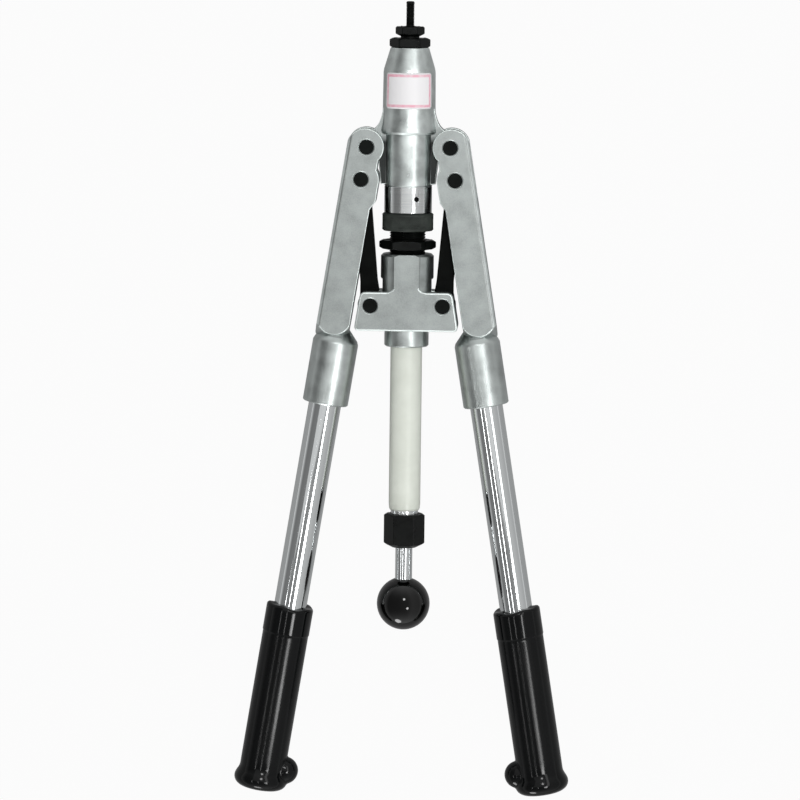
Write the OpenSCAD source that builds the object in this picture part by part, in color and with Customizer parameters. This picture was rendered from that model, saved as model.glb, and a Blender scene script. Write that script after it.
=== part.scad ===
// Rivet nut tool: a two-handed lever puller with a ball-knob spin rod, lying flat on the bench.
// Frame in mm: the origin is on the mandrel axis at the nosepiece face, +Y runs out of the nose
// and +Z points up off the bench. The levers swing flat, about axes along Z.

/* [Nose] */
// Thread diameter of the mandrel
mandrel_d = 5; // [3:0.5:8]
// Length of mandrel standing out of the nosepiece
mandrel_reach = 14.7; // [8:0.1:25]
// Width of the nosepiece across its flats
nose_af = 15; // [13:0.5:20]
// Length of the nosepiece hexagon
nose_len = 5.7; // [4:0.1:12]
// Thread diameter of the nosepiece shank
nose_thread_d = 11; // [9:0.5:13]
// Bare shank between nosepiece and lock nut
nose_gap = 1; // [0.4:0.1:4]
// Width of the nose lock nut across its flats
lock_af = 21; // [18:0.5:28]
// Thickness of the nose lock nut
lock_t = 5.5; // [3:0.1:10]

/* [Head] */
// Radius of the front face of the head
head_front_r = 11.2; // [9:0.1:14]
// Length of the cone behind the front face
head_cone_len = 12.3; // [6:0.1:20]
// Radius of the barrel
barrel_r = 15.4; // [14:0.1:20]
// Length of the barrel behind the cone
barrel_len = 37.8; // [25:0.1:60]
// Flare of the barrel at its rim
rim_rise = 1.3; // [0:0.1:1.6]
// Step by which the skirt is smaller than the barrel
skirt_step = 1.4; // [0.5:0.1:2]
// Length of the skirt between the levers
skirt_len = 30.5; // [24:0.1:45]
// Thickness of the pivot ears
ear_t = 9.8; // [7:0.1:13]
// Radius of the pivot ears
ear_r = 8.6; // [7:0.1:10]
// Drop of the lever pivots below the barrel
pivot_drop = 7.8; // [5:0.1:14]

/* [Stroke] */
// Radius of the plain guide sleeve
sleeve_r = 13.9; // [13.2:0.1:15]
// Visible length of the guide sleeve
sleeve_len = 15.9; // [10:0.1:25]
// Diameter of the pin spanner holes in the sleeve
spanner_hole_d = 3; // [2:0.5:5]
// Radius of the knurled stroke ring
ring_r = 15; // [14:0.1:19]
// Length of the knurled stroke ring
ring_len = 10.3; // [6:0.1:16]
// Gap from the ring to the stop nut, which is the stroke
stroke_gap = 5.6; // [5.2:0.1:8]
// Radius of the threaded stem
stem_r = 10.6; // [9.8:0.1:11.4]
// Width of the stop nut across its flats
stop_af = 29; // [26:0.5:32]
// Thickness of the stop nut
stop_t = 5.2; // [4:0.1:9]
// Bare stem between stop nut and yoke
stop_offset = 2.8; // [1:0.1:8]

/* [Yoke] */
// Radius of the yoke boss
boss_r = 15.5; // [14.5:0.1:16.6]
// Length of the yoke boss
boss_len = 21.8; // [16:0.1:30]
// Height of the yoke cross bar
bar_h = 22.9; // [20:0.1:28]
// Half thickness of the yoke
yoke_half_t = 13.7; // [11.5:0.1:14.4]
// Metal between the yoke pins and the bar flanks at the top
flank_edge = 5.8; // [5:0.1:7]
// Widening of each bar flank towards the bottom
flank_slope = 3.7; // [0:0.1:4.2]
// Drop of the yoke pins below the bar's top edge
yoke_pin_drop = 8.2; // [7.5:0.1:12]
// Radius of the neck under the bar
neck_r = 13; // [11.5:0.1:16]
// Length of the neck under the bar
neck_len = 9.7; // [5:0.1:16]

/* [Spin rod] */
// Outer radius of the guide tube
tube_r = 9.3; // [8.8:0.05:10.6]
// Wall of the guide tube
tube_wall = 2.2; // [1.4:0.1:2.6]
// Visible length of the guide tube
tube_show = 97; // [80:0.1:110]
// Visible length of the end ferrule
ferrule_show = 2.3; // [1:0.1:6]
// Width of the end nut across its flats
end_nut_af = 21; // [18:0.5:26]
// Height of the end nut
end_nut_h = 19.8; // [17:0.1:26]
// Radius of the pull rod
rod_r = 5; // [4.4:0.1:5.4]
// Length of rod showing above the ball
rod_show = 19; // [8:0.1:40]
// Radius of the ball knob
ball_r = 15.6; // [12:0.1:20]
// Lead of the twisted drive spindle
spin_lead = 24; // [18:1:36]
// Width of the twisted drive spindle
spindle_w = 5; // [4:0.1:5.4]
// Thickness of the twisted drive spindle
spindle_t = 2.6; // [2:0.1:3]

/* [Levers] */
// Angle of each lever off the mandrel axis
lever_angle = 9.1; // [8.6:0.1:14]
// Half thickness of the lever bars
lever_half_t = 10.2; // [8.5:0.1:12]
// Radius of the rounded lever tops
lever_top_r = 10.9; // [10:0.1:11.6]
// Outer edge of the lever bar from the pivot line
lever_outer = 11.4; // [10.5:0.1:13]
// Inner edge of the lever bar from the pivot line
lever_inner = 8.1; // [6.5:0.1:8.6]
// Radius of the lever around the link pin
pad_r = 10.6; // [9:0.1:11.4]
// Distance from lever pivot to link pin
arm_len = 19.2; // [18:0.1:22]
// Offset of the handle axis from the pivot line, towards the other lever
handle_shift = 1.3; // [0:0.1:2]
// Length of the flat lever bar below the pivot
lever_bar_len = 105.5; // [98:0.5:115]
// Radius of the handle sockets
socket_r = 13.4; // [12:0.1:14.6]
// Length of the handle sockets
socket_len = 39; // [30:0.5:50]
// Outer radius of the handle tubes
handle_r = 9.6; // [8.5:0.1:10.6]
// Wall of the handle tubes
handle_wall = 1.6; // [1:0.1:2.4]
// Bare handle tube between socket and grip
handle_show = 122.2; // [90:0.1:150]
// Radius of the pivot and link pins
pin_r = 4.2; // [3.4:0.1:4.6]
// Countersink of the pin holes
pin_sink = 0.8; // [0.4:0.1:1.2]

/* [Grips] */
// Radius of the grips
grip_r = 13.9; // [12:0.1:16]
// Length of the grips
grip_len = 111; // [90:0.5:140]
// Length of the smooth collar on each grip
grip_collar = 16; // [8:0.5:24]
// Flare of the grip ends above the grip
flare_rise = 1.9; // [0.5:0.1:4]
// Length of the flared grip ends
flare_len = 13; // [9:0.5:20]
// Radius of the bumper lobe on the inner side of each grip
lobe_r = 8.2; // [6:0.1:10]
// Distance of the lobe's middle from the handle axis
lobe_out = 13; // [10:0.1:15]
// Distance of the lobe's middle from the grip end
lobe_rise = 12.8; // [10:0.1:20]

/* [Links] */
// Thickness of the links
link_t = 9.8; // [7:0.1:13]
// Radius of the link eyes
link_eye_r = 7.6; // [6.8:0.1:8]
// Half width of the links between the eyes
link_half_w = 5; // [3.5:0.1:5.8]

/* [Fits] */
// Clearance of pieces fixed together, at the radius
fit_gap = 0.05; // [0.02:0.01:0.08]
// Clearance of pieces that slide or turn, at the radius
run_gap = 0.1; // [0.05:0.01:0.15]
// Clearance of free passages, at the radius
free_gap = 0.4; // [0.3:0.05:0.6]
// Extra clearance of the link's lower eye, at the radius
eye_play = 0.7; // [0.6:0.05:0.9]
// Clearance beside links and ears in their slots
side_gap = 0.35; // [0.2:0.05:0.6]

/* [Hidden] */
$fn = 96;
eps = 0.01;

// Stations along the mandrel axis, from the nose down
y_shank = -nose_len;
y_lock = y_shank - nose_gap;
y_head = y_lock - lock_t;
y_cone = y_head - head_cone_len;
y_rim = y_cone - barrel_len;
y_skirt = y_rim - skirt_len;
y_sleeve = y_skirt - sleeve_len;
y_ring = y_sleeve - ring_len;
y_stop = y_ring - stroke_gap;
y_stop_end = y_stop - stop_t;
y_yoke = y_stop_end - stop_offset;
y_bar = y_yoke - boss_len;
y_bar_end = y_bar - bar_h;
y_neck = y_bar_end - neck_len;
y_tube = y_neck - tube_show;
y_nut = y_tube - ferrule_show;
y_nut_end = y_nut - end_nut_h;
y_ball_flat = y_nut_end - rod_show;
y_pivot = y_rim - pivot_drop;
y_yoke_pin = y_bar - yoke_pin_drop;

// Stations and sizes inside the head, stem and yoke
nose_seat = 9.5;
y_nose_end = y_head - nose_seat;
chuck_r = 6;
chuck_seat_r = 8.2;
stem_seat = 20.4;
y_stem_top = y_rim + 2;
y_stem_end = y_yoke - stem_seat;
y_stem_bore = y_stem_top + stroke_gap + 6;
retainer_t = 6;
washer_t = 1.4;
flange_t = 5.5;
flange_r = chuck_seat_r - free_gap;
face_gap = 0.1;
y_retainer = y_stem_top - retainer_t;
y_washer = y_retainer - face_gap;
y_flange = y_washer - washer_t;
y_flange_end = y_flange - flange_t;
y_seat = y_flange_end - 1;
y_chuck = y_nose_end - stroke_gap - 1;
mandrel_r = mandrel_d / 2;
shank_r = mandrel_r - 0.2;
y_mandrel_end = y_chuck - 16;
spigot_len = 18;
spigot_r = stem_r + 1.7;
rim_r = barrel_r + rim_rise;
skirt_r = barrel_r - skirt_step;
sleeve_tail_r = stem_r + 1.6;
tail_len = ring_len - 1;

// Stations and sizes of the spin rod
tube_bore_r = tube_r - tube_wall;
tube_seat = 16;
y_tube_top = y_neck + tube_seat;
spigot_depth = 14;
ferrule_r = tube_bore_r + 0.95;
y_ferrule_end = y_nut_end + 5.3;
drive_top = y_tube_top - 5.6;
drive_web = 4;
drive_cup = 6;
drive_r = tube_bore_r - free_gap;
rod_bore_r = spindle_w / 2 + 0.8;
rod_grip = 12;
rod_travel = 75;
y_rod_top = drive_top - drive_web;
y_spindle_end = drive_top - rod_travel - drive_web - 7;
y_rod_bore = y_spindle_end - 6;
spindle_top = y_flange_end + 14;
spindle_shank_r = 3;
passage_r = spindle_w / 2 + 1.7;
slot_play = 0.3;
ball_flat_r = rod_r + 0.6;
ball_flat = sqrt(ball_r * ball_r - ball_flat_r * ball_flat_r);
y_ball = y_ball_flat - ball_flat;

// Linkage, with the pivots set clear of the skirt and the yoke pins clear of the stem
slot_half = max(ear_t, link_t) / 2 + side_gap;
top_shift = lever_outer - lever_top_r + 0.15;
skirt_reach = sqrt(skirt_r * skirt_r - slot_half * slot_half);
pivot_gap = 1;
pivot_x = skirt_reach + pivot_gap + lever_top_r - top_shift + 0.2;
slot_floor = stem_r + 1.9;
yoke_pin_x = slot_floor + link_eye_r + 1;
bar_top_half = yoke_pin_x + flank_edge;
bar_end_half = bar_top_half + flank_slope;
link_pin = [pivot_x + arm_len * sin(lever_angle), y_pivot - arm_len * cos(lever_angle)];
yoke_pin = [yoke_pin_x, y_yoke_pin];
pin_recess = 0.3;

// Lever and grip stations, measured down each lever from its pivot
pad_end = arm_len + 11.6;
pad_run = 5;
round_r = (lever_inner + lever_outer) / 2 + 0.4;
round_x = (lever_outer - lever_inner) / 2;
u_round = lever_bar_len + 6.2 - round_r;
u_socket = lever_bar_len + 8.5;
u_socket_end = u_socket + socket_len;
u_tube_top = u_socket_end - 31;
u_grip = u_socket_end + handle_show;
u_grip_end = u_grip + grip_len;
u_flare = u_grip_end - flare_len;
u_lobe = u_grip_end - lobe_rise;
u_tube_end = u_grip_end - 6;
slot_start = arm_len + link_eye_r + 4;
slot_end = arm_len + 72;

function along(a, b, t) = a + (b - a) * t;
// Points of a curve from a to c that bends towards b
function bend(a, b, c, n) = [for (i = [0:n]) along(along(a, b, i / n), along(b, c, i / n), i / n)];
// A corner of an outline rounded off at distance d from its point
function rounded(before, at, after, d) =
  bend(at + d * (before - at) / norm(before - at), at, at + d * (after - at) / norm(after - at), 6);

// A turned piece about the mandrel axis, from points of radius and station
module turned(points) {
  rotate([-90, 0, 0]) rotate_extrude() polygon(points);
}

// A plain bore along the mandrel axis between two stations
module bore(r, from, to) {
  turned([[0, from], [r, from], [r, to], [0, to]]);
}

// A hexagon along the mandrel axis between two stations, its corners turned off at the ends
module hex_prism(af, top, end, top_cut, end_cut) {
  corner_r = af / sqrt(3);
  intersection() {
    translate([0, top, 0]) rotate([90, 0, 0]) cylinder(r = corner_r, h = top - end, $fn = 6);
    turned([[0, top], [corner_r - 2 * top_cut, top], [corner_r + eps, top - top_cut],
      [corner_r + eps, end + end_cut], [corner_r - 2 * end_cut, end], [0, end]]);
  }
}

// A round pin along Z with chamfered ends
module pin_at(at, half) {
  c = 0.6;
  translate([at[0], at[1], 0]) rotate_extrude()
    polygon([[0, -half], [pin_r - c, -half], [pin_r, c - half], [pin_r, half - c], [pin_r - c, half], [0, half]]);
}

// A pin hole along Z, countersunk at both faces
module pin_hole(at, r, half) {
  translate([at[0], at[1], 0]) rotate_extrude()
    polygon([[0, -half - eps], [r + pin_sink, -half - eps], [r, pin_sink - half], [r, half - pin_sink],
      [r + pin_sink, half + eps], [0, half + eps]]);
}

// Places a right-hand piece in the lever frame, with the pivot at its origin and the bar along -Y
module on_lever() {
  translate([pivot_x, y_pivot, 0]) rotate([0, 0, lever_angle]) children();
}

// A turned piece about the handle's axis, from points of radius and distance below the pivot
module lever_turned(points) {
  translate([-handle_shift, 0, 0]) rotate([90, 0, 0]) rotate_extrude() polygon(points);
}

module left_of() {
  mirror([1, 0, 0]) children();
}

// Head and stroke ring

module ear_outline() {
  root = [barrel_r - 0.4, y_rim + 15];
  crown = [pivot_x, y_pivot + ear_r];
  y_foot = y_pivot - ear_r;
  translate([pivot_x, y_pivot]) circle(r = ear_r);
  polygon(concat([[0, root[1]]], bend(root, [barrel_r + 1.1, y_rim + 2], crown, 10),
    [[pivot_x, y_foot], [skirt_r + 3.4, y_foot], [skirt_r + 2, y_skirt + 1], [0, y_skirt + 1]]));
}

module ear_pair() {
  linear_extrude(height = ear_t, center = true) {
    ear_outline();
    mirror([1, 0]) ear_outline();
  }
}

module head_casting() {
  color([0.64, 0.66, 0.66])
  difference() {
    union() {
      turned(concat([[0, y_head], [head_front_r, y_head], [barrel_r - 0.5, y_cone], [barrel_r - 0.2, y_cone - 2]],
        bend([barrel_r, y_rim + 15], [barrel_r + 0.1, y_rim + 6], [rim_r, y_rim + 3], 6),
        [[rim_r, y_rim + 1.2], [rim_r - 0.7, y_rim], [skirt_r, y_rim - 0.4],
        [skirt_r, y_skirt + 0.4], [skirt_r - 0.4, y_skirt], [0, y_skirt]]));
      ear_pair();
    }
    bore(nose_thread_d / 2 + fit_gap, y_head + 1, y_nose_end);
    bore(chuck_r + free_gap, y_nose_end + eps, y_stem_bore);
    bore(stem_r + free_gap, y_stem_bore, y_skirt - 1);
    bore(spigot_r + fit_gap, y_skirt + spigot_len, y_skirt - 1);
    for (s = [-1, 1]) translate([s * pivot_x, y_pivot, 0])
      cylinder(r = pin_r + run_gap, h = ear_t + 2, center = true);
  }
}

module guide_sleeve() {
  hole_at = y_skirt - 7.2;
  color([0.8, 0.82, 0.83])
  difference() {
    turned([[stem_r + run_gap, y_skirt + spigot_len], [spigot_r, y_skirt + spigot_len], [spigot_r, y_skirt],
      [sleeve_r - 0.3, y_skirt], [sleeve_r, y_skirt - 0.3], [sleeve_r, y_sleeve + 0.5],
      [sleeve_r - 0.5, y_sleeve], [sleeve_tail_r, y_sleeve], [sleeve_tail_r, y_sleeve - tail_len],
      [stem_r + run_gap, y_sleeve - tail_len]]);
    for (turn = [23, 203]) translate([0, hole_at, 0]) rotate([0, turn, 0])
      translate([0, 0, stem_r]) cylinder(d = spanner_hole_d, h = sleeve_r);
  }
}

module nosepiece() {
  color([0.08, 0.08, 0.09])
  difference() {
    union() {
      hex_prism(nose_af, 0, y_shank, 0.5, 1.6);
      bore(nose_thread_d / 2, y_shank + 1, y_nose_end + 0.6);
    }
    bore(mandrel_r + 0.3, 1, y_nose_end - 1);
  }
}

module nose_lock_nut() {
  color([0.08, 0.08, 0.09])
  difference() {
    hex_prism(lock_af, y_lock, y_head, 0.9, 0.9);
    bore(nose_thread_d / 2 + fit_gap, y_lock + 1, y_head - 1);
  }
}

module stroke_ring() {
  c = 0.7;
  top = y_sleeve - face_gap;
  color([0.2, 0.2, 0.21])
  turned([[sleeve_tail_r + run_gap, top], [ring_r - c, top], [ring_r, top - c], [ring_r, y_ring + c],
    [ring_r - c, y_ring], [sleeve_tail_r + run_gap + 0.4, y_ring], [sleeve_tail_r + run_gap, y_ring + 0.4]]);
}

// Levers, tubes, grips and links

module lever_outline() {
  wide = lever_outer + 6;
  translate([top_shift, 0]) circle(r = lever_top_r);
  translate([-lever_inner, -lever_bar_len - 14]) square([lever_inner + wide, lever_bar_len + 14]);
  translate([0, -arm_len]) circle(r = pad_r);
  polygon([[0, -arm_len], [-pad_r, -arm_len], [-pad_r, -pad_end], [-lever_inner, -pad_end - pad_run],
    [0, -pad_end - pad_run]]);
}

// Section of the bar with its two outer edges rounded
module bar_section() {
  edge = 2.5;
  x = lever_outer - edge;
  z = lever_half_t - edge;
  translate([-40, -lever_half_t]) square([40 + x, 2 * lever_half_t]);
  translate([-40, -z]) square([40 + lever_outer, 2 * z]);
  for (s = [-1, 1]) translate([x, s * z]) circle(r = edge);
}

// The milled slot that takes the head's ear and the link
module lever_slot() {
  far = lever_outer + 8;
  linear_extrude(height = 2 * slot_half, center = true)
    polygon([[-40, 40], [far, 40], [far, -slot_start], [lever_outer, -slot_start],
      [-lever_inner, -slot_end], [-40, -slot_end]]);
}

// The run of the bar to its round end, where its flat faces slope off to the socket
module bar_run() {
  fall = 0.5;
  over = 2;
  tip = round_r - fall * over;
  reach = lever_half_t + over;
  translate([round_x, -u_round, 0]) {
    translate([-60, 0, -40]) cube([120, u_round + 60, 80]);
    rotate_extrude()
      polygon([[0, -reach], [tip, -reach], [round_r + fall * lever_half_t, 0], [tip, reach], [0, reach]]);
  }
}

module lever() {
  color([0.64, 0.66, 0.66])
  difference() {
    union() {
      intersection() {
        linear_extrude(height = 4 * lever_half_t, center = true) lever_outline();
        translate([0, 40, 0]) rotate([90, 0, 0]) linear_extrude(height = lever_bar_len + 53) bar_section();
        bar_run();
      }
      lever_turned([[0, lever_bar_len + 2], [socket_r - 7, lever_bar_len + 2], [socket_r - 0.8, lever_bar_len + 9],
        [socket_r, lever_bar_len + 11], [socket_r, u_socket_end - 0.6], [socket_r - 0.6, u_socket_end],
        [0, u_socket_end]]);
    }
    lever_slot();
    pin_hole([0, 0], pin_r + fit_gap, lever_half_t);
    pin_hole([0, -arm_len], pin_r + fit_gap, lever_half_t);
    lever_turned([[0, u_tube_top], [handle_r + fit_gap, u_tube_top], [handle_r + fit_gap, u_socket_end + 1],
      [0, u_socket_end + 1]]);
  }
}

module handle_tube() {
  color([0.85, 0.86, 0.88])
  lever_turned([[handle_r - handle_wall, u_tube_top], [handle_r, u_tube_top], [handle_r, u_tube_end],
    [handle_r - handle_wall, u_tube_end]]);
}

// Half outline of a grip, with a rolled lip, a collar and a flared, rounded end
function grip_profile() = let(
    lip = 1.8,
    waist = grip_r - 0.3,
    rim = grip_r + flare_rise,
    mid = [along(waist, rim, 0.5), u_flare + 0.36 * flare_len],
    crest = [rim, u_flare + 0.55 * flare_len])
  concat([[0, u_grip], [grip_r - lip, u_grip], [grip_r - 0.5, u_grip + 0.6], [grip_r, u_grip + lip],
      [grip_r, u_grip + grip_collar], [waist, u_grip + grip_collar + 1]],
    bend([waist, u_flare], [waist, u_flare + 0.2 * flare_len], mid, 4),
    bend(mid, [rim, u_flare + 0.5 * flare_len], crest, 4),
    bend(crest, [rim, u_grip_end], [rim - 7, u_grip_end], 8),
    [[0, u_grip_end]]);

module grip() {
  color([0.03, 0.03, 0.035])
  difference() {
    union() {
      lever_turned(grip_profile());
      translate([-handle_shift - lobe_out, -u_lobe, 0]) sphere(r = lobe_r);
    }
    lever_turned([[0, u_grip - 1], [handle_r + fit_gap, u_grip - 1], [handle_r + fit_gap, u_tube_end],
      [0, u_tube_end]]);
  }
}

module link() {
  taper = 14;
  run = yoke_pin - link_pin;
  length = norm(run);
  root = 0.8 * link_eye_r;
  color([0.07, 0.07, 0.075])
  translate([link_pin[0], link_pin[1], 0]) rotate([0, 0, atan2(run[1], run[0])])
  linear_extrude(height = link_t, center = true)
  difference() {
    union() {
      circle(r = link_eye_r);
      translate([length, 0]) circle(r = link_eye_r);
      polygon([[2, -root], [taper, -link_half_w], [length - taper, -link_half_w], [length - 2, -root],
        [length - 2, root], [length - taper, link_half_w], [taper, link_half_w], [2, root]]);
    }
    circle(r = pin_r + run_gap);
    translate([length, 0]) circle(r = pin_r + eye_play);
  }
}

module right_lever() {
  on_lever() lever();
}

module right_handle_tube() {
  on_lever() handle_tube();
}

module right_grip() {
  on_lever() grip();
}

module right_pivot_pin() {
  color([0.1, 0.1, 0.11]) on_lever() pin_at([0, 0], lever_half_t - pin_recess);
}

module right_link_pin() {
  color([0.1, 0.1, 0.11]) on_lever() pin_at([0, -arm_len], lever_half_t - pin_recess);
}

module right_link() {
  link();
}

module left_lever() {
  left_of() right_lever();
}

module left_handle_tube() {
  left_of() right_handle_tube();
}

module left_grip() {
  left_of() right_grip();
}

module left_pivot_pin() {
  left_of() right_pivot_pin();
}

module left_link_pin() {
  left_of() right_link_pin();
}

module left_link() {
  left_of() right_link();
}

// Yoke, stem and guide tube

module bar_outline() {
  a = [bar_top_half, y_bar];
  b = [bar_end_half, y_bar_end];
  c = [-bar_end_half, y_bar_end];
  d = [-bar_top_half, y_bar];
  soft = 3.4;
  polygon(concat(rounded(d, a, b, soft), rounded(a, b, c, soft), rounded(b, c, d, soft), rounded(c, d, a, soft)));
}

// A web that carries the boss's flat face round into the bar
module boss_web() {
  web = 4.5;
  x = sqrt(boss_r * boss_r - yoke_half_t * yoke_half_t) - 0.3;
  difference() {
    translate([x - 2, y_bar - 2]) square([web + 2, web + 2]);
    translate([x + web, y_bar + web]) circle(r = web);
  }
}

module yoke() {
  soft = 1.2;
  slot_rise = 7;
  color([0.64, 0.66, 0.66])
  difference() {
    union() {
      intersection() {
        turned([[0, y_yoke], [boss_r - soft, y_yoke], [boss_r, y_yoke - soft], [boss_r, y_bar - 4], [0, y_bar - 4]]);
        translate([-40, y_bar - 20, -yoke_half_t]) cube([80, boss_len + 40, 2 * yoke_half_t]);
      }
      linear_extrude(height = 2 * yoke_half_t, center = true) {
        bar_outline();
        boss_web();
        mirror([1, 0]) boss_web();
      }
      turned([[0, y_bar_end + 4], [neck_r, y_bar_end + 4], [neck_r, y_neck + 0.8], [neck_r - 0.8, y_neck],
        [0, y_neck]]);
    }
    for (s = [-1, 1]) {
      translate([s > 0 ? slot_floor : -slot_floor - 40, y_bar_end - 1, -slot_half])
        cube([40, bar_h + slot_rise + 1, 2 * slot_half]);
      pin_hole([s * yoke_pin_x, y_yoke_pin], pin_r + fit_gap, yoke_half_t);
    }
    bore(stem_r + fit_gap, y_yoke + 1, y_stem_end);
    bore(passage_r, y_stem_end + eps, y_tube_top);
    bore(tube_r + fit_gap, y_tube_top, y_neck - 1);
  }
}

module yoke_pins() {
  color([0.1, 0.1, 0.11])
  for (s = [-1, 1]) pin_at([s * yoke_pin_x, y_yoke_pin], yoke_half_t - pin_recess);
}

module stem() {
  c = 0.8;
  color([0.09, 0.09, 0.1])
  turned([[chuck_seat_r, y_stem_top], [stem_r - c, y_stem_top], [stem_r, y_stem_top - c], [stem_r, y_stem_end],
    [passage_r, y_stem_end], [passage_r, y_seat], [chuck_seat_r, y_seat]]);
}

module stop_nut() {
  color([0.09, 0.09, 0.1])
  difference() {
    hex_prism(stop_af, y_stop, y_stop_end, 1, 1);
    bore(stem_r + fit_gap, y_stop + 1, y_stop_end - 1);
  }
}

module chuck_retainer() {
  color([0.45, 0.46, 0.48])
  turned([[chuck_r + free_gap, y_stem_top], [chuck_seat_r - fit_gap, y_stem_top],
    [chuck_seat_r - fit_gap, y_retainer], [chuck_r + free_gap, y_retainer]]);
}

module guide_tube() {
  color([0.85, 0.86, 0.8])
  turned([[tube_bore_r, y_tube_top], [tube_r, y_tube_top], [tube_r, y_tube + 4], [tube_r - 0.3, y_tube + 1],
    [tube_r - 0.9, y_tube],
    [tube_bore_r, y_tube]]);
}

module end_ferrule() {
  inner = rod_r + run_gap;
  color([0.75, 0.76, 0.78])
  turned([[inner, y_tube + spigot_depth], [tube_bore_r - fit_gap, y_tube + spigot_depth],
    [tube_bore_r - fit_gap, y_tube], [ferrule_r, y_tube], [ferrule_r, y_ferrule_end], [inner, y_ferrule_end]]);
}

module end_nut() {
  color([0.09, 0.09, 0.1])
  difference() {
    hex_prism(end_nut_af, y_nut, y_nut_end, 0.8, 2.5);
    bore(ferrule_r + fit_gap, y_nut + 1, y_ferrule_end);
    bore(rod_r + free_gap, y_ferrule_end + eps, y_nut_end - 1);
  }
}

// Pull rod, knob and spinning mandrel

// The spindle's flat section, turned to its angle at a station
module twisted(top, end, w, t) {
  run = top - end;
  turn = 360 / spin_lead;
  translate([0, end, 0]) rotate([-90, 0, 0]) rotate([0, 0, -turn * (end - y_spindle_end)])
    linear_extrude(height = run, twist = turn * run, slices = ceil(run), $fn = 4)
      square([w, t], center = true);
}

module pull_rod() {
  y_rod_end = y_ball_flat - rod_grip;
  color([0.8, 0.81, 0.83])
  difference() {
    turned([[0, y_rod_top], [rod_r, y_rod_top], [rod_r, y_rod_end + 0.6], [rod_r - 0.6, y_rod_end], [0, y_rod_end]]);
    bore(rod_bore_r, y_rod_top + 1, y_rod_bore);
  }
}

module drive_nut() {
  color([0.7, 0.62, 0.4])
  difference() {
    bore(drive_r, drive_top, y_rod_top - drive_cup);
    bore(rod_r + fit_gap, y_rod_top, y_rod_top - drive_cup - 1);
    twisted(drive_top + 1, y_rod_top - 1, spindle_w + 2 * slot_play, spindle_t + 2 * slot_play);
  }
}

module ball_knob() {
  bore_end = y_ball_flat - rod_grip;
  color([0.03, 0.03, 0.035])
  rotate([-90, 0, 0]) rotate_extrude()
  difference() {
    translate([0, y_ball]) circle(r = ball_r);
    translate([-2 * ball_r, y_ball - 2 * ball_r]) square([2 * ball_r, 4 * ball_r]);
    translate([-1, y_ball_flat]) square([2 * ball_r, ball_r]);
    translate([-1, bore_end]) square([1 + rod_r + fit_gap, 2 * rod_grip]);
  }
}

module mandrel() {
  c = 0.7;
  color([0.1, 0.1, 0.11])
  turned([[0, mandrel_reach], [mandrel_r - c, mandrel_reach], [mandrel_r, mandrel_reach - c], [mandrel_r, 0],
    [shank_r, -0.2], [shank_r, y_mandrel_end], [0, y_mandrel_end]]);
}

module chuck() {
  color([0.45, 0.46, 0.48])
  difference() {
    turned([[0, y_chuck], [chuck_r - 1, y_chuck], [chuck_r, y_chuck - 1], [chuck_r, y_flange],
      [flange_r, y_flange], [flange_r, y_flange_end], [0, y_flange_end]]);
    bore(shank_r + fit_gap, y_chuck + 1, y_mandrel_end);
    bore(spindle_shank_r + fit_gap, spindle_top, y_flange_end - 1);
  }
}

module drive_spindle() {
  y_shank_end = y_seat - 4;
  color([0.6, 0.61, 0.63]) {
    bore(spindle_shank_r, spindle_top, y_shank_end);
    twisted(y_shank_end + 2, y_spindle_end, spindle_w, spindle_t);
  }
}

module thrust_washer() {
  color([0.7, 0.62, 0.4])
  turned([[chuck_r + fit_gap, y_washer], [flange_r, y_washer], [flange_r, y_flange], [chuck_r + fit_gap, y_flange]]);
}

head_casting();
guide_sleeve();
nosepiece();
nose_lock_nut();
stroke_ring();
left_lever();
left_handle_tube();
left_grip();
left_pivot_pin();
left_link_pin();
right_lever();
right_handle_tube();
right_grip();
right_pivot_pin();
right_link_pin();
left_link();
right_link();
yoke();
yoke_pins();
stem();
stop_nut();
chuck_retainer();
guide_tube();
end_ferrule();
end_nut();
pull_rod();
drive_nut();
ball_knob();
mandrel();
chuck();
drive_spindle();
thrust_washer();
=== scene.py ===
import math

import bmesh
import bpy
import numpy as np
from mathutils import Matrix, Vector


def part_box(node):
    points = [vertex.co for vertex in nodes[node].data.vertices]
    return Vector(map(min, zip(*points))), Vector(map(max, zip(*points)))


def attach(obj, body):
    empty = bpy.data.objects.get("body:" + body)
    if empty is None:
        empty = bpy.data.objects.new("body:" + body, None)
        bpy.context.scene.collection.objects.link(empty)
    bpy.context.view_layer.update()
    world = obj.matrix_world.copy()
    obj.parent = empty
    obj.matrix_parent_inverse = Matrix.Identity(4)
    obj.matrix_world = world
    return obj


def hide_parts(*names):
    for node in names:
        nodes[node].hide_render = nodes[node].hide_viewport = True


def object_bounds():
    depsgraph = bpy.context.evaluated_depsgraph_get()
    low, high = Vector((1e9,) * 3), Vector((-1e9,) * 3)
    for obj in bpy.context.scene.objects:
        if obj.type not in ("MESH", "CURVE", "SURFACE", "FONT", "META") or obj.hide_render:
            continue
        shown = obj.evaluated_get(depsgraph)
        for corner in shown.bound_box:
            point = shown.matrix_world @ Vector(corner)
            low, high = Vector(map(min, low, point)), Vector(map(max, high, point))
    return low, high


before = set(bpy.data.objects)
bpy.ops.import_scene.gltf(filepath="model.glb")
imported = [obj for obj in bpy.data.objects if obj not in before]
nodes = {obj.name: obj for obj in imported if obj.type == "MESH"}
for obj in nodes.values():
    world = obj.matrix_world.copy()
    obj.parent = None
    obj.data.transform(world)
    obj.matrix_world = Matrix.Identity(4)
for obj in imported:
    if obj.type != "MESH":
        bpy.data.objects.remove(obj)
cad_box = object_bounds()

MM = 0.001


def span(node):
    """The lowest and the highest corner of a node's box, in millimetres."""
    low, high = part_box(node)
    return low / MM, high / MM


def axis_of(pin):
    low, high = span(pin)
    return (low + high) / 2


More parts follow.
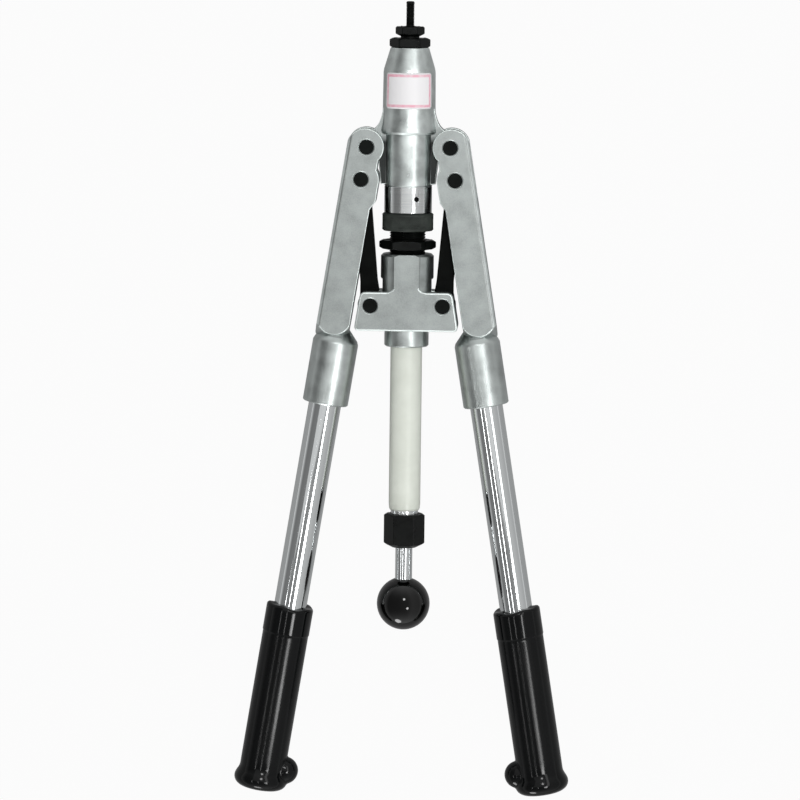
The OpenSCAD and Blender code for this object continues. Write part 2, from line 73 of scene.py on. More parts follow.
# Places on the tool in millimetres, from its solids
RIGHT_PIVOT = axis_of("right_pivot_pin")
RIGHT_LINK_PIN = axis_of("right_link_pin")
PIVOT = (RIGHT_PIVOT.x, RIGHT_PIVOT.y)
LEVER_ANGLE = math.atan2(RIGHT_LINK_PIN.x - PIVOT[0], PIVOT[1] - RIGHT_LINK_PIN.y)
PIN_R = 4.2
PINS = [axis_of(side + pin) for side in ("left", "right") for pin in ("_pivot_pin", "_link_pin")]
PINS += [Vector((s * (span("yoke_pins")[1].x - PIN_R), axis_of("yoke_pins").y, 0)) for s in (-1, 1)]
HEAD_TOP = span("head_casting")[1].y
MANDREL_END, MANDREL_TIP = (corner.y for corner in span("mandrel"))
RING_END, RING_TOP = (corner.y for corner in span("stroke_ring"))
STEM_END, STEM_TOP = (corner.y for corner in span("stem"))
YOKE_END, YOKE_TOP = (corner.y for corner in span("yoke"))
CHUCK_SEAT_END = span("chuck")[0].y - 1
BALL = axis_of("ball_knob")

# Sizes of the tool in millimetres
HANDLE_SHIFT = 1.3
HANDLE_R = 9.6
GRIP_R = 13.9
GRIP_TOP = 275.2
GRIP_COLLAR = 16.0
GRIP_STEP = 0.3
GRIP_STEP_RUN = 0.8
GRIP_LIP = 1.8
GRIP_END = 386.2
GRIP_FLARE = 373.2
FLARE_RISE = 1.9
FLARE_RUN = 7.0
TUBE_END = 380.2
LOBE_AT = 373.4
LOBE_OUT = 13.0
LOBE_R = 8.2
FLAT_HALF_T = 10.2
ROUND_TOP = 101.0
SOCKET_TOP = 113.0
NECK_LEN = 9.7
BOSS_LEN = 21.8
BOSS_FLAT = 13.7
MANDREL_R = 2.5
MANDREL_PITCH = 0.8
MANDREL_CUT = 0.42
SHANK_R = 2.3
RING_R = 15.0
RING_BORE_R = 12.3
KNURL_PITCH = 1.15
KNURL_CUT = 0.4
STEM_R = 10.6
STEM_PITCH = 1.5
STEM_CUT = 0.7
STEM_BORE_R = 4.2
CHUCK_SEAT_R = 8.2
BARREL_R = 15.4
BARREL_LEN = 50.1
LABEL_TOP = HEAD_TOP - 14.2
LABEL_TALL = 20.9
LABEL_HALF = math.radians(58)
LABEL_ARC = 2 * LABEL_HALF * BARREL_R

# Finishes of a casting, as the places of its materials; the last is partly rubbed edge wear and partly a
# painted highlight
AS_CAST, TURNED, WORN_AND_HIGHLIGHT = range(3)


# Node trees

def add(tree, kind, **values):
    node = tree.nodes.new(kind)
    for key, value in values.items():
        setattr(node, key, value)
    return node


def feed(tree, node, *values):
    """Gives each input of a node a number or the output of another node."""
    for socket, value in zip(node.inputs, values):
        if isinstance(value, bpy.types.NodeSocket):
            tree.links.new(value, socket)
        elif value is not None:
            socket.default_value = value
    return node


def calc(tree, operation, *values):
    return feed(tree, add(tree, "ShaderNodeMath", operation=operation), *values).outputs[0]


def finish_named(name, colour, metal, rough):
    material = bpy.data.materials.new(name)
    material.use_nodes = True
    shader = material.node_tree.nodes["Principled BSDF"]
    shader.inputs["Base Color"].default_value = (*colour, 1)
    shader.inputs["Metallic"].default_value = metal
    shader.inputs["Roughness"].default_value = rough
    return material, material.node_tree, shader


def grain(tree, scale, detail=4.0, stretch=(1, 1, 1), source="Object"):
    """A noise of the given scale per metre over the piece."""
    place = add(tree, "ShaderNodeTexCoord")
    mapping = add(tree, "ShaderNodeMapping")
    mapping.inputs["Scale"].default_value = stretch
    noise = add(tree, "ShaderNodeTexNoise")
    noise.inputs["Scale"].default_value = scale
    noise.inputs["Detail"].default_value = detail
    tree.links.new(place.outputs[source], mapping.inputs["Vector"])
    tree.links.new(mapping.outputs["Vector"], noise.inputs["Vector"])
    return noise.outputs["Fac"]


def spread(tree, value, low, high, to_low, to_high):
    node = add(tree, "ShaderNodeMapRange")
    return feed(tree, node, value, low, high, to_low, to_high).outputs[0]


def shades(tree, value, *stops):
    """A colour ramp through stops of place and colour."""
    node = add(tree, "ShaderNodeValToRGB")
    elements = node.color_ramp.elements
    while len(elements) < len(stops):
        elements.new(0.5)
    for element, (place, colour) in zip(elements, stops):
        element.position = place
        element.color = (*colour, 1)
    tree.links.new(value, node.inputs["Fac"])
    return node.outputs["Color"]


def bump(tree, shader, height, strength, depth_mm):
    node = add(tree, "ShaderNodeBump")
    node.inputs["Strength"].default_value = strength
    node.inputs["Distance"].default_value = depth_mm * MM
    tree.links.new(height, node.inputs["Height"])
    tree.links.new(node.outputs["Normal"], shader.inputs["Normal"])


# Finishes

def satin_casting(name, pale, low, high, speckle, mottle, shaded_below_rim=False):
    """Tumbled casting: fine speckle over mottled tones; the shaded one has painted shade that darkens it
    below the barrel's rim.
    """
    material, tree, shader = finish_named(name, (0.5, 0.54, 0.53), 1.0, 0.4)
    middle = 0.525
    levels = [pale * (middle + shift) for shift in (-mottle, 0, 0.8 * mottle)]
    greys = [(level * 0.93, level, level * 0.98) for level in levels]
    speck = grain(tree, 1500, 3)
    cloud = grain(tree, 100, 6)
    fine = calc(tree, "MULTIPLY", speck, speckle)
    tone = calc(tree, "ADD", fine, calc(tree, "MULTIPLY", cloud, 1 - speckle))
    tint = shades(tree, tone, (0.3, greys[0]), (0.5, greys[1]), (0.7, greys[2]))
    # Painted shade: below the barrel's rim the ears' webs sit deep between the levers and the skirt, so their
    # colour is darkened there, down to a tenth.
    if shaded_below_rim:
        parts = add(tree, "ShaderNodeSeparateXYZ")
        tree.links.new(add(tree, "ShaderNodeTexCoord").outputs["Object"], parts.inputs[0])
        rim = HEAD_TOP - BARREL_LEN
        shade_factor = spread(tree, parts.outputs["Y"], (rim - 5) * MM, (rim - 1) * MM, 0.1, 1)
        painted_shade = add(tree, "ShaderNodeVectorMath", operation="SCALE")
        tree.links.new(tint, painted_shade.inputs[0])
        tree.links.new(shade_factor, painted_shade.inputs["Scale"])
        tint = painted_shade.outputs[0]
    tree.links.new(tint, shader.inputs["Base Color"])
    tree.links.new(spread(tree, tone, 0.3, 0.7, low, high), shader.inputs["Roughness"])
    bump(tree, shader, speck, 0.4 * speckle, 0.06)
    return material


def turned_steel(name, colour, low, high, line_mm):
    """Turned metal with fine tool lines round the mandrel axis."""
    material, tree, shader = finish_named(name, colour, 1.0, low)
    lines = grain(tree, 1 / (line_mm * MM), 2, (0, 1, 0))
    smudge = grain(tree, 70, 4)
    tree.links.new(spread(tree, smudge, 0.3, 0.7, low, high), shader.inputs["Roughness"])
    dull = [c * 0.82 for c in colour]
    tree.links.new(shades(tree, lines, (0.3, dull), (0.65, colour)), shader.inputs["Base Color"])
    bump(tree, shader, lines, 0.12, 0.02)
    return material


def chrome_plate():
    material, tree, shader = finish_named("chrome", (0.72, 0.745, 0.75), 1.0, 0.08)
    smudge = grain(tree, 45, 5)
    tree.links.new(spread(tree, smudge, 0.35, 0.7, 0.05, 0.13), shader.inputs["Roughness"])
    bump(tree, shader, grain(tree, 160, 2), 0.02, 0.04)
    return material


def black_oxide(name, colour, low, high, shine):
    material, tree, shader = finish_named(name, colour, 0.0, low)
    shader.inputs["Specular IOR Level"].default_value = shine
    patch = grain(tree, 160, 4)
    speck = grain(tree, 1300, 3)
    pale = [c * 2.2 for c in colour]
    tree.links.new(shades(tree, patch, (0.35, colour), (0.8, pale)), shader.inputs["Base Color"])
    tree.links.new(spread(tree, patch, 0.3, 0.7, low, high), shader.inputs["Roughness"])
    bump(tree, shader, speck, 0.2, 0.05)
    return material


def dipped_vinyl():
    """Black vinyl, glossy on the collar and the end and satin with long streaks between them."""
    material, tree, shader = finish_named("grip_vinyl", (0.004, 0.0045, 0.005), 0.0, 0.3)
    shader.inputs["Specular IOR Level"].default_value = 0.22
    place = add(tree, "ShaderNodeTexCoord")
    parts = add(tree, "ShaderNodeSeparateXYZ")
    tree.links.new(place.outputs["UV"], parts.inputs[0])
    along = parts.outputs["Y"]
    body_top = GRIP_COLLAR / (GRIP_END - GRIP_TOP)
    body_end = (GRIP_FLARE - 4 - GRIP_TOP) / (GRIP_END - GRIP_TOP)
    below = spread(tree, along, body_top - 0.004, body_top + 0.004, 0, 1)
    above = spread(tree, along, body_end - 0.02, body_end + 0.02, 1, 0)
    satin = calc(tree, "MULTIPLY", below, above)
    streak = grain(tree, 1, 3, (46, 1.2, 1), "UV")
    streak_rough = spread(tree, streak, 0.35, 0.65, 0.14, 0.25)
    gloss = 0.1
    rougher = calc(tree, "MULTIPLY", satin, calc(tree, "SUBTRACT", streak_rough, gloss))
    rough = calc(tree, "ADD", gloss, rougher)
    tree.links.new(rough, shader.inputs["Roughness"])
    dust = grain(tree, 900, 3)
    tint = shades(tree, dust, (0.35, (0.0012, 0.0014, 0.0015)), (0.75, (0.003, 0.0035, 0.0038)))
    tree.links.new(tint, shader.inputs["Base Color"])
    relief = calc(tree, "MULTIPLY", satin, calc(tree, "ADD", streak, calc(tree, "MULTIPLY", dust, 0.15)))
    bump(tree, shader, relief, 0.35, 0.12)
    return material


def moulded_plastic(name, low_colour, high_colour, low, high, shine):
    material, tree, shader = finish_named(name, high_colour, 0.0, low)
    shader.inputs["Specular IOR Level"].default_value = shine
    cloud = grain(tree, 90, 4)
    tree.links.new(shades(tree, cloud, (0.3, low_colour), (0.7, high_colour)), shader.inputs["Base Color"])
    tree.links.new(spread(tree, cloud, 0.3, 0.7, low, high), shader.inputs["Roughness"])
    bump(tree, shader, grain(tree, 700, 2), 0.06, 0.05)
    return material


def label_paper():
    """White label with a pale pink frame set in from its edge."""
    material, tree, shader = finish_named("label_paper", (0.86, 0.85, 0.85), 0.0, 0.32)
    place = add(tree, "ShaderNodeTexCoord")
    parts = add(tree, "ShaderNodeSeparateXYZ")
    tree.links.new(place.outputs["UV"], parts.inputs[0])
    insets = []
    for axis, size in (("X", LABEL_ARC), ("Y", LABEL_TALL)):
        from_middle = calc(tree, "ABSOLUTE", calc(tree, "SUBTRACT", parts.outputs[axis], 0.5))
        insets.append(calc(tree, "MULTIPLY", calc(tree, "SUBTRACT", 0.5, from_middle), size))
    inset = calc(tree, "MINIMUM", *insets)
    inside = spread(tree, inset, 0.8, 1.05, 0, 1)
    beyond = spread(tree, inset, 2.3, 2.6, 1, 0)
    frame_band = calc(tree, "MULTIPLY", inside, beyond)
    fade = spread(tree, grain(tree, 260, 4), 0.35, 0.6, 0.55, 1)
    tint = shades(tree, calc(tree, "MULTIPLY", frame_band, fade),
                  (0.0, (0.85, 0.84, 0.85)), (1.0, (0.82, 0.42, 0.51)))
    tree.links.new(tint, shader.inputs["Base Color"])
    bump(tree, shader, grain(tree, 500, 3), 0.08, 0.05)
    return material


CAST = satin_casting("cast_grey", 0.68, 0.33, 0.48, 0.4, 0.11)
# The head's ears and webs, with painted shade below the barrel's rim where they sit in the recess beside the
# skirt.
CAST_EAR = satin_casting("cast_ear", 0.68, 0.33, 0.48, 0.4, 0.11, shaded_below_rim=True)
CAST_TURNED = satin_casting("cast_turned", 1.02, 0.3, 0.37, 0.06, 0.12)
# Painted light: a paler copy of the turned casting for the head's body, standing in for the brighter light on
# the head than on the levers' sockets.
CAST_BARREL_BRIGHTENED = satin_casting("cast_barrel_brightened", 1.28, 0.27, 0.39, 0.06, 0.15)
# Partly rubbed wear, partly painted highlight: a far paler copy of the casting for bevels, slopes and
# countersinks, standing in for bright edge lines of reflected light.
CAST_WORN_AND_HIGHLIGHT = satin_casting("cast_worn_and_highlight", 1.6, 0.4, 0.5, 0.2, 0.08)
POLISHED = turned_steel("polished_steel", (0.74, 0.76, 0.76), 0.12, 0.24, 0.5)
CHROME = chrome_plate()
BLACK = black_oxide("black_steel", (0.0024, 0.0029, 0.0027), 0.24, 0.4, 0.12)
PIN_BLACK = black_oxide("pin_steel", (0.0028, 0.0036, 0.0032), 0.3, 0.45, 0.06)
# Painted shade: a darker, duller copy of the black steel for the links, which sit in shade between the levers
# and the head.
LINK_BLACK_SHADED = black_oxide("link_steel_shaded", (0.0012, 0.0016, 0.0013), 0.3, 0.45, 0.05)
KNURLED = black_oxide("knurled_steel", (0.022, 0.026, 0.023), 0.45, 0.62, 0.2)
VINYL = dipped_vinyl()
CREAM = moulded_plastic("cream_plastic", (0.64, 0.67, 0.60), (0.71, 0.74, 0.67), 0.3, 0.42, 0.5)
BALL_PLASTIC = moulded_plastic("ball_plastic", (0.0008, 0.0009, 0.0008), (0.002, 0.002, 0.0018),
                               0.05, 0.1, 0.42)
INNER = turned_steel("inner_steel", (0.42, 0.43, 0.44), 0.28, 0.42, 0.4)
BRONZE = turned_steel("bronze", (0.62, 0.46, 0.24), 0.28, 0.4, 0.4)
LABEL = label_paper()


# Meshes

def new_piece(name, mesh, material, body, slot, *replaced):
    """Puts a finished mesh in the scene as a piece that rides on a body."""
    mesh.name = name
    mesh.materials.clear()
    mesh.materials.append(material)
    piece = bpy.data.objects.new(name, mesh)
    bpy.context.scene.collection.objects.link(piece)
    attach(piece, body)
    if replaced:
        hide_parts(*replaced)
    return piece


def settled(piece):
    """The mesh that an object's modifiers give, as a plain mesh; the object goes."""
    graph = bpy.context.evaluated_depsgraph_get()
    mesh = bpy.data.meshes.new_from_object(piece.evaluated_get(graph))
    bpy.data.objects.remove(piece)
    return mesh


def smooth(mesh, angle=35):
    mesh.polygons.foreach_set("use_smooth", [True] * len(mesh.polygons))
    mesh.set_sharp_from_angle(angle=math.radians(angle))


def broken_edges(node, width_mm, steps, material, body, slot, turned=None, turned_finish=CAST_TURNED):
    """A node's shape with its sharp edges broken, as casting or filing leaves them.

    For a casting, turned gives the finish of each face, and the broken edges take a pale finish that is
    partly rubbed wear and partly a painted highlight. Its chamfers are cut already, so only steeper edges are
    broken.
    """
    crease = math.radians(28)
    sharp = math.radians(55) if turned else crease
    mesh = nodes[node].data.copy()
    mesh.attributes.remove(mesh.attributes["custom_normal"])
    build = bmesh.new()
    build.from_mesh(mesh)
    bmesh.ops.remove_doubles(build, verts=build.verts, dist=2e-6)
    bmesh.ops.dissolve_limit(build, angle_limit=math.radians(0.3), verts=build.verts, edges=build.edges)
    bmesh.ops.dissolve_degenerate(build, edges=build.edges, dist=0.06 * MM)
    break_here = build.edges.layers.float.new("bevel_weight_edge")
    for edge in build.edges:
        angle = edge.calc_face_angle() if edge.is_manifold else math.pi
        broken = edge.is_convex and edge.is_manifold and angle > sharp
        edge[break_here] = float(broken)
        edge.smooth = broken or angle < crease
    build.to_mesh(mesh)
    build.free()
    mesh.polygons.foreach_set("use_smooth", [True] * len(mesh.polygons))
    mesh.materials.clear()
    for finish in (material, turned_finish, CAST_WORN_AND_HIGHLIGHT):
        mesh.materials.append(finish)
    piece = bpy.data.objects.new(node + "_work", mesh)
    bpy.context.scene.collection.objects.link(piece)
    edges = piece.modifiers.new("broken", "BEVEL")
    edges.width = width_mm * MM
    edges.segments = steps
    edges.limit_method = "WEIGHT"
    edges.use_clamp_overlap = False
    edges.miter_outer = "MITER_ARC"
    # The bevels take the pale finish: rubbed wear together with a painted highlight.
    edges.material = WORN_AND_HIGHLIGHT
    shading = piece.modifiers.new("shading", "WEIGHTED_NORMAL")
    shading.weight = 100
    shading.thresh = 5e-5
    shading.keep_sharp = True
    shape = settled(piece)
    worn_and_highlight = [face.material_index == WORN_AND_HIGHLIGHT for face in shape.polygons]
    new_piece(node + "_finished", shape, material, body, slot, node)
    if turned:
        shape.materials.append(turned_finish)
        shape.materials.append(CAST_WORN_AND_HIGHLIGHT)
        for face, edge in zip(shape.polygons, worn_and_highlight):
            face.material_index = WORN_AND_HIGHLIGHT if edge else turned(face)


def at_pin(at, flat):
    """Whether a point in millimetres is on the countersink of a pin hole, below a flat at that height."""
    sink_r = PIN_R + 0.9
    near = any(math.hypot(at.x - pin.x, at.y - pin.y) < sink_r for pin in PINS)
    return near and abs(at.z) < flat - 0.05


def on_lever_round(face):
    """The finish of a lever's face: turned on its socket; pale on its slopes and countersinks, partly wear
    and partly painted highlight.
    """
    at = face.center / MM
    down = (abs(at.x) - PIVOT[0]) * math.sin(LEVER_ANGLE) - (at.y - PIVOT[1]) * math.cos(LEVER_ANGLE)
    on_shoulder = down > ROUND_TOP and abs(at.z) < FLAT_HALF_T - 0.5
    on_slope = down < ROUND_TOP and 0.2 < abs(face.normal.z) < 0.9
    if on_slope or at_pin(at, FLAT_HALF_T):
        return WORN_AND_HIGHLIGHT
    return TURNED if down > SOCKET_TOP or on_shoulder else AS_CAST


def on_barrel(face):
    """The finish of a face of the head: turned on its body."""
    at = face.center / MM
    return TURNED if math.hypot(at.x, at.z) < BARREL_R + 1.5 else AS_CAST


def on_yoke_round(face):
    """The finish of a face of the yoke: turned on its round parts; pale on its countersinks, partly wear and
    partly painted highlight.
    """
    at = face.center / MM
    on_neck = at.y < YOKE_END + NECK_LEN - 0.5
    on_flank = at.y > YOKE_TOP - BOSS_LEN + 5 and abs(at.z) < BOSS_FLAT - 0.3
    if at_pin(at, BOSS_FLAT):
        return WORN_AND_HIGHLIGHT
    return TURNED if on_neck or on_flank else AS_CAST


def keep_node(node, material):
    mesh = nodes[node].data
    mesh.materials.clear()
    mesh.materials.append(material)


def ring_faces(build, lower, upper):
    count = len(lower)
    for i in range(count):
        j = (i + 1) % count
        build.faces.new((lower[i], lower[j], upper[j], upper[i]))


def round_point(radius, turn, station):
    """A point in metres at a radius and a station in millimetres, turned about the mandrel axis."""
    return radius * MM * math.sin(turn), station * MM, radius * MM * math.cos(turn)


def lathe(profile, segments):
    """A mesh turned about the mandrel axis through points of radius and station; a radius of 0 closes it."""
    build = bmesh.new()
    rings = []
    for radius, station in profile:
        if radius == 0:
            rings.append([build.verts.new((0, station * MM, 0))])
            continue
        ring = []
        for i in range(segments):
            turn = 2 * math.pi * i / segments
            ring.append(build.verts.new(round_point(radius, turn, station)))
        rings.append(ring)
    for lower, upper in zip(rings, rings[1:]):
        if len(lower) == 1 or len(upper) == 1:
            pole, ring = (lower[0], upper) if len(lower) == 1 else (upper[0], lower)
            for i in range(segments):
                build.faces.new((pole, ring[i], ring[(i + 1) % segments]))
        else:
            ring_faces(build, lower, upper)
    return build


def closed_mesh(build, name, extra=None):
    """Ends a bmesh: takes in another mesh, merges the seams and turns every face outwards."""
    if extra is not None:
        build.from_mesh(extra)
    bmesh.ops.remove_doubles(build, verts=build.verts, dist=4e-6)
    bmesh.ops.recalc_face_normals(build, faces=build.faces)
    mesh = bpy.data.meshes.new(name)
    build.to_mesh(mesh)
    build.free()
    smooth(mesh)
    return mesh


# Relief that repeats round a turned piece

def wrap_tree(name, relief):
    """A node tree that wraps a grid round the mandrel axis; relief gives the depth of cut, from 0 to 1."""
    tree = bpy.data.node_groups.new(name, "GeometryNodeTree")
    sizes = ("Radius", "Depth", "Start", "Length", "Pitch", "Round", "Rows")
    for size in sizes:
        kind = "NodeSocketInt" if size in ("Round", "Rows") else "NodeSocketFloat"
        tree.interface.new_socket(size, in_out="INPUT", socket_type=kind)
    tree.interface.new_socket("Material", in_out="INPUT", socket_type="NodeSocketMaterial")
    tree.interface.new_socket("Geometry", in_out="OUTPUT", socket_type="NodeSocketGeometry")
    given = add(tree, "NodeGroupInput").outputs
    grid = add(tree, "GeometryNodeMeshGrid")
    feed(tree, grid, 1.0, 1.0, calc(tree, "ADD", given["Round"], 1), given["Rows"])
    place = add(tree, "ShaderNodeSeparateXYZ")
    tree.links.new(add(tree, "GeometryNodeInputPosition").outputs[0], place.inputs[0])
    around = calc(tree, "ADD", place.outputs["X"], 0.5)
    turn = calc(tree, "MULTIPLY", around, 2 * math.pi)
    share = calc(tree, "ADD", place.outputs["Y"], 0.5)
    run = calc(tree, "MULTIPLY", share, given["Length"])
    near_start = spread(tree, run, 0, given["Pitch"], 0, 1)
    to_end = calc(tree, "SUBTRACT", given["Length"], run)
    near_end = spread(tree, to_end, 0, given["Pitch"], 0, 1)
    fade = calc(tree, "MULTIPLY", near_start, near_end)
    cut = calc(tree, "MULTIPLY", relief(tree, around, run, given), fade)
    radius = calc(tree, "SUBTRACT", given["Radius"], calc(tree, "MULTIPLY", cut, given["Depth"]))
    wrapped = add(tree, "ShaderNodeCombineXYZ")
    feed(tree, wrapped, calc(tree, "MULTIPLY", radius, calc(tree, "SINE", turn)),
         calc(tree, "SUBTRACT", given["Start"], run),
         calc(tree, "MULTIPLY", radius, calc(tree, "COSINE", turn)))
    shape = add(tree, "GeometryNodeSetPosition")
    tree.links.new(grid.outputs["Mesh"], shape.inputs["Geometry"])
    tree.links.new(wrapped.outputs[0], shape.inputs["Position"])
    real = add(tree, "GeometryNodeRealizeInstances")
    tree.links.new(shape.outputs["Geometry"], real.inputs["Geometry"])
    painted = add(tree, "GeometryNodeSetMaterial")
    tree.links.new(real.outputs["Geometry"], painted.inputs["Geometry"])
    tree.links.new(given["Material"], painted.inputs["Material"])
    tree.links.new(painted.outputs["Geometry"], add(tree, "NodeGroupOutput").inputs["Geometry"])
    return tree


def screw_thread(tree, around, run, given):
    """A single helix with straight flanks."""
    turns = calc(tree, "ADD", calc(tree, "DIVIDE", run, given["Pitch"]), around)
    return calc(tree, "PINGPONG", calc(tree, "MULTIPLY", turns, 2), 1)


def diamond_knurl(tree, around, run, given):
    """Two sets of crossed grooves that leave rows of small points."""
    girth = calc(tree, "MULTIPLY", given["Radius"], 2 * math.pi)
    count = calc(tree, "ROUND", calc(tree, "DIVIDE", girth, given["Pitch"]))
    along = calc(tree, "DIVIDE", run, given["Pitch"])
    across = calc(tree, "MULTIPLY", around, count)
    left = calc(tree, "PINGPONG", calc(tree, "ADD", across, along), 0.5)
    right = calc(tree, "PINGPONG", calc(tree, "SUBTRACT", across, along), 0.5)
    return calc(tree, "MULTIPLY", calc(tree, "MAXIMUM", left, right), 2)


def wrapped_relief(tree, material, **sizes):
    """The mesh that a wrapping tree gives for these sizes."""
    holder = bpy.data.objects.new(tree.name, bpy.data.meshes.new(tree.name))
    bpy.context.scene.collection.objects.link(holder)
    modifier = holder.modifiers.new(tree.name, "NODES")
    modifier.node_group = tree
    for item in tree.interface.items_tree:
        if item.in_out == "INPUT":
            modifier[item.identifier] = material if item.name == "Material" else sizes[item.name]
    holder.update_tag()
    return settled(holder)


THREAD = wrap_tree("thread", screw_thread)
KNURL = wrap_tree("knurl", diamond_knurl)


def threaded_mandrel():
    around = 48
    edge = 0.7
    shoulder = 0.2
    start = MANDREL_TIP - edge
    length = start - shoulder
    cut = wrapped_relief(THREAD, BLACK, Radius=MANDREL_R * MM, Depth=MANDREL_CUT * MM, Start=start * MM,
                         Length=length * MM, Pitch=MANDREL_PITCH * MM, Round=around, Rows=150)
    core = lathe([(MANDREL_R, start), (MANDREL_R - edge, MANDREL_TIP), (0, MANDREL_TIP)], around)
    shank = lathe([(MANDREL_R, start - length), (SHANK_R, -shoulder), (SHANK_R, MANDREL_END),
                   (0, MANDREL_END)], around)
    tip = closed_mesh(core, "mandrel_tip")
    tail = closed_mesh(shank, "mandrel_tail", tip)
    build = bmesh.new()
    build.from_mesh(tail)
    mandrel = closed_mesh(build, "mandrel", cut)
    new_piece("mandrel_threaded", mandrel, BLACK, "mandrel", "black_steel", "mandrel")


def threaded_stem():
    around = 96
    edge = 0.8
    start = RING_TOP + 2
    length = start - YOKE_TOP + 4
    cut = wrapped_relief(THREAD, BLACK, Radius=STEM_R * MM, Depth=STEM_CUT * MM, Start=start * MM,
                         Length=length * MM, Pitch=STEM_PITCH * MM, Round=around, Rows=200)
    rest = lathe([(STEM_R, start - length), (STEM_R, STEM_END), (STEM_BORE_R, STEM_END),
                  (STEM_BORE_R, CHUCK_SEAT_END), (CHUCK_SEAT_R, CHUCK_SEAT_END), (CHUCK_SEAT_R, STEM_TOP),
                  (STEM_R - edge, STEM_TOP), (STEM_R, STEM_TOP - edge), (STEM_R, start)], around)
    new_piece("stem_threaded", closed_mesh(rest, "stem", cut), BLACK, "yoke", "black_steel", "stem")


def knurled_ring():
    around = 492
    edge = 0.7
    bore_edge = 0.4
    start = RING_TOP - edge
    length = RING_TOP - RING_END - 2 * edge
    cut = wrapped_relief(KNURL, KNURLED, Radius=RING_R * MM, Depth=KNURL_CUT * MM, Start=start * MM,
                         Length=length * MM, Pitch=KNURL_PITCH * MM, Round=around, Rows=48)
    rest = lathe([(RING_R, start - length), (RING_R - edge, RING_END), (RING_BORE_R + bore_edge, RING_END),
                  (RING_BORE_R, RING_END + bore_edge), (RING_BORE_R, RING_TOP), (RING_R - edge, RING_TOP),
                  (RING_R, start)], around)
    new_piece("stroke_ring_knurled", closed_mesh(rest, "stroke_ring", cut), KNURLED, "stroke_ring",
              "knurled_steel", "stroke_ring")


# Grips

def grip_radius(u, turn):
    """Outer radius of the right grip at distances u below the pivot and angles turn about the handle."""
    body = np.full_like(u, GRIP_R - GRIP_STEP)
    body += GRIP_STEP * np.clip((GRIP_TOP + GRIP_COLLAR + GRIP_STEP_RUN - u) / GRIP_STEP_RUN, 0, 1)
    from_top = np.clip((GRIP_TOP + GRIP_LIP - u) / GRIP_LIP, 0, 1)
    body -= GRIP_LIP * (1 - np.sqrt(1 - from_top ** 2))
    flare = np.clip((u - GRIP_FLARE) / FLARE_RUN, 0, 1)
    body += (FLARE_RISE + GRIP_STEP) * flare ** 2 * (3 - 2 * flare)
    to_end = np.clip((u - GRIP_FLARE - FLARE_RUN) / (GRIP_END - GRIP_FLARE - FLARE_RUN), 0, 1)
    end_round = 7.0
    body -= end_round * (1 - np.sqrt(1 - to_end ** 2.2))
    best = np.zeros_like(u)
    found = np.zeros(u.shape, bool)
    crease = 1.0
    for r in np.arange(24.0, 0.0, -0.04):
        x = r * np.cos(turn) + LOBE_OUT
        lobe = np.sqrt(x ** 2 + (r * np.sin(turn)) ** 2 + (u - LOBE_AT) ** 2) - LOBE_R
        wall = r - body
        h = np.clip(0.5 + 0.5 * (wall - lobe) / crease, 0, 1)
        depth = wall * (1 - h) + lobe * h - crease * h * (1 - h)
        hit = (depth <= 0) & ~found
        best[hit] = r
        found |= hit
    return best


def dipped_grip(side):
    """One grip: a lofted skin with a rolled lip, a collar, a body, a flared end with a lobe, and its bore."""
    around = 240
    top = GRIP_TOP + GRIP_LIP * (1 - np.cos(np.linspace(0, math.pi / 2, 8)))
    collar = np.linspace(GRIP_TOP + 2.4, GRIP_TOP + GRIP_COLLAR - 0.2, 8)
    step = np.linspace(GRIP_TOP + GRIP_COLLAR, GRIP_TOP + GRIP_COLLAR + GRIP_STEP_RUN, 5)
    body = np.linspace(GRIP_TOP + GRIP_COLLAR + 2, LOBE_AT - LOBE_R - 1.5, 20)
    end = np.linspace(LOBE_AT - LOBE_R - 1, GRIP_END - 1, 60)
    close = GRIP_END - 1 + np.sin(np.linspace(0.15, math.pi / 2, 8))
    stations = np.concatenate([top, collar, step, body, end, close])
    turns = np.arange(around) * 2 * math.pi / around
    u, turn = np.meshgrid(stations, turns, indexing="ij")
    r = grip_radius(u, turn)
    r[0] = np.minimum(r[0], GRIP_R - GRIP_LIP)
    build = bmesh.new()
    uv = build.loops.layers.uv.new("grip")
    length = GRIP_END - GRIP_TOP
    wavy = 7

    def place(radius, angle, down):
        fade = max(0.0, 1 - (down - GRIP_TOP) / wavy)
        down -= fade * (0.6 * math.sin(2 * angle + 0.6) + 0.4 * math.sin(5 * angle + 1.3))
        x = -HANDLE_SHIFT + radius * math.cos(angle)
        c, s = math.cos(LEVER_ANGLE), math.sin(LEVER_ANGLE)
        px = PIVOT[0] + x * c + down * s
        py = PIVOT[1] + x * s - down * c
        return build.verts.new((side * px * MM, py * MM, radius * math.sin(angle) * MM))

    bore = HANDLE_R + 0.05
    rings = []
    for radius, down in ((bore, TUBE_END), (bore, GRIP_TOP)):
        rings.append(([place(radius, a, down) for a in turns], down))
    for i, down in enumerate(stations):
        rings.append(([place(r[i, k], turns[k], down) for k in range(around)], down))
    for (lower, low), (upper, high) in zip(rings, rings[1:]):
        for k in range(around):
            j = (k + 1) % around
            face = build.faces.new((lower[k], lower[j], upper[j], upper[k]))
            corners = ((k, low), (k + 1, low), (k + 1, high), (k, high))
            for loop, (turn_at, down) in zip(face.loops, corners):
                loop[uv].uv = (turn_at / around, (down - GRIP_TOP) / length)
    for ring, down in (rings[0], rings[-1]):
        level = TUBE_END if ring is rings[0][0] else GRIP_END
        pole = place(0, 0, level)
        for k in range(around):
            face = build.faces.new((ring[k], ring[(k + 1) % around], pole))
            for loop in face.loops:
                loop[uv].uv = (k / around, 1.0)
    bmesh.ops.recalc_face_normals(build, faces=build.faces)
    name = ("right" if side > 0 else "left") + "_grip"
    mesh = bpy.data.meshes.new(name)
    build.to_mesh(mesh)
    build.free()
    smooth(mesh, 50)
    body_name = name.replace("grip", "lever")
    new_piece(name + "_dipped", mesh, VINYL, body_name, "grip_vinyl", name)


# Label

